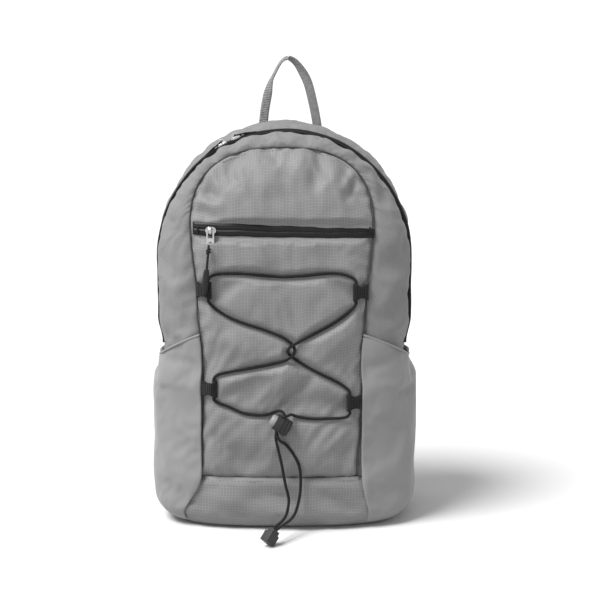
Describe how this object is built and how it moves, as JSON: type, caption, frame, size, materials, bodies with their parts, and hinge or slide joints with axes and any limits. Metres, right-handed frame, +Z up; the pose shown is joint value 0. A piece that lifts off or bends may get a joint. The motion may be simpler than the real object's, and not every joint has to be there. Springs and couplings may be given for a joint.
{
  "type": "daypack",
  "caption": "Daypack with a U-shaped zipped front, an elastic-laced front panel, a zipped front pocket, stretch side pockets, a grab handle and padded shoulder straps.",
  "frame": {"origin": "centre of the flat resting face under the base, on the ground", "axes": "+Z up, -Y towards the laced front, +Y towards the wearer, +X to the right seen from the front"},
  "size_m": [0.276, 0.2403, 0.486],
  "materials": {
    "ripstop": "ripstop nylon, semi-matt",
    "plain_weave": "plain-woven nylon, semi-matt",
    "stretch": "smooth stretch knit",
    "lining": "thin coated lining",
    "foam": "closed-cell foam",
    "spacer_mesh": "spacer mesh",
    "zip_black": "woven tape with a moulded coil",
    "nickel": "polished nickel plate",
    "cord_black": "braided cord",
    "coated_band": "coated water-resistant tape",
    "grip_rubber": "moulded, matt",
    "webbing_black": "woven webbing",
    "webbing_grey": "ribbed webbing",
    "strap_fabric": "padded fabric",
    "cord_end_plastic": "moulded, matt",
    "lock_plastic": "moulded, ribbed",
    "button_plastic": "moulded, satin",
    "spring_steel": "bare steel wire"
  },
  "bodies": {
    "pack": {"rear_shell": "plain_weave", "lower_front": "ripstop", "base_panel": "ripstop", "front_fold": "ripstop", "back_lining": "lining", "back_foam": "foam", "back_mesh": "spacer_mesh", "side_pocket_left": "stretch", "side_pocket_right": "stretch", "pocket_hem_left": "stretch", "pocket_hem_right": "stretch", "main_zip_rear": "zip_black", "main_zip_stops": "zip_black", "loop_lower_left": "webbing_black", "loop_lower_right": "webbing_black", "lacing_left": "cord_black", "lacing_right": "cord_black", "tail_left": "cord_black", "tail_right": "cord_black", "cord_end": "cord_end_plastic", "cord_lock_body": "lock_plastic", "cord_lock_spring": "spring_steel", "shoulder_strap_left": "strap_fabric", "shoulder_strap_right": "strap_fabric", "strap_webbing_left": "webbing_grey", "strap_webbing_right": "webbing_grey", "ladder_holder_left": "webbing_grey", "ladder_holder_right": "webbing_grey", "strap_tab_left": "strap_fabric", "strap_tab_right": "strap_fabric", "strap_yoke": "strap_fabric"},
    "front_flap": {"front_gusset": "plain_weave", "front_panel": "ripstop", "main_zip_front": "zip_black", "pocket_zip_band": "coated_band", "pocket_zip_stops": "coated_band", "pocket_lining": "lining", "loop_upper_left": "webbing_black", "loop_upper_right": "webbing_black"},
    "main_slider_left": {"main_slider_left": "nickel"},
    "main_slider_right": {"main_slider_right": "nickel"},
    "main_pull_left": {"main_pull_left": "cord_black"},
    "main_pull_right": {"main_pull_right": "cord_black"},
    "pocket_slider": {"pocket_slider": "nickel"},
    "pocket_pull": {"pocket_pull_tab": "nickel", "pocket_pull_cord": "cord_black", "pocket_pull_grip": "grip_rubber"},
    "lock_button": {"cord_lock_button": "button_plastic"},
    "grab_handle": {"grab_handle": "webbing_grey"},
    "ladder_lock_left": {"ladder_lock_left": "lock_plastic"},
    "ladder_lock_right": {"ladder_lock_right": "lock_plastic"}
  },
  "joints": [
    {"name": "front_opening", "type": "hinge", "parent": "pack", "child": "front_flap", "pos_m": [0, -0.04, 0.21], "axis": [1, 0, 0], "range_deg": [0, 45], "deforming": ["front_fold", "lacing_left", "lacing_right"]},
    {"name": "main_zip_run_left", "type": "hinge", "parent": "pack", "child": "main_slider_left", "pos_m": [0, -0.005, 0.277], "axis": [0, -1, 0], "range_deg": [0, 60]},
    {"name": "main_zip_run_right", "type": "hinge", "parent": "pack", "child": "main_slider_right", "pos_m": [0, -0.005, 0.277], "axis": [0, 1, 0], "range_deg": [0, 110]},
    {"name": "main_pull_swing_left", "type": "hinge", "parent": "main_slider_left", "child": "main_pull_left", "pos_m": [-0.06525, -0.005, 0.39718], "axis": [0, 1, 0], "range_deg": [0, 120]},
    {"name": "main_pull_swing_right", "type": "hinge", "parent": "main_slider_right", "child": "main_pull_right", "pos_m": [-0.05123, -0.005, 0.40379], "axis": [0, -1, 0], "range_deg": [0, 120]},
    {"name": "pocket_zip_run", "type": "hinge", "parent": "front_flap", "child": "pocket_slider", "pos_m": [0, 0.49273, 0.311], "axis": [0, 0, 1], "range_deg": [0, 15]},
    {"name": "pocket_pull_swing", "type": "hinge", "parent": "pocket_slider", "child": "pocket_pull", "pos_m": [-0.07371, -0.06714, 0.311], "axis": [-0.9914, 0.1305, 0], "range_deg": [0, 150]},
    {"name": "lock_button_press", "type": "slide", "parent": "pack", "child": "lock_button", "axis": [0.866, 0, -0.5], "range_m": [0, 0.003], "stiffness_N_per_m": 800, "springref_m": -0.002, "deforming": ["cord_lock_spring"]},
    {"name": "handle_fold", "type": "hinge", "parent": "pack", "child": "grab_handle", "pos_m": [0.006, 0.05, 0.416], "axis": [1, 0, 0], "range_deg": [-65, 65], "stiffness_Nm_per_rad": 0.02},
    {"name": "ladder_tilt_left", "type": "hinge", "parent": "pack", "child": "ladder_lock_left", "pos_m": [-0.08, 0.0878, 0.134], "axis": [1, 0, 0], "range_deg": [0, 40]},
    {"name": "ladder_tilt_right", "type": "hinge", "parent": "pack", "child": "ladder_lock_right", "pos_m": [0.08, 0.0878, 0.134], "axis": [1, 0, 0], "range_deg": [0, 40]}
  ],
  "couplings": [
    {"joint": "main_zip_run_left", "follows": "front_opening", "ratio": 1.3333},
    {"joint": "main_zip_run_right", "follows": "front_opening", "ratio": 2.44}
  ]
}
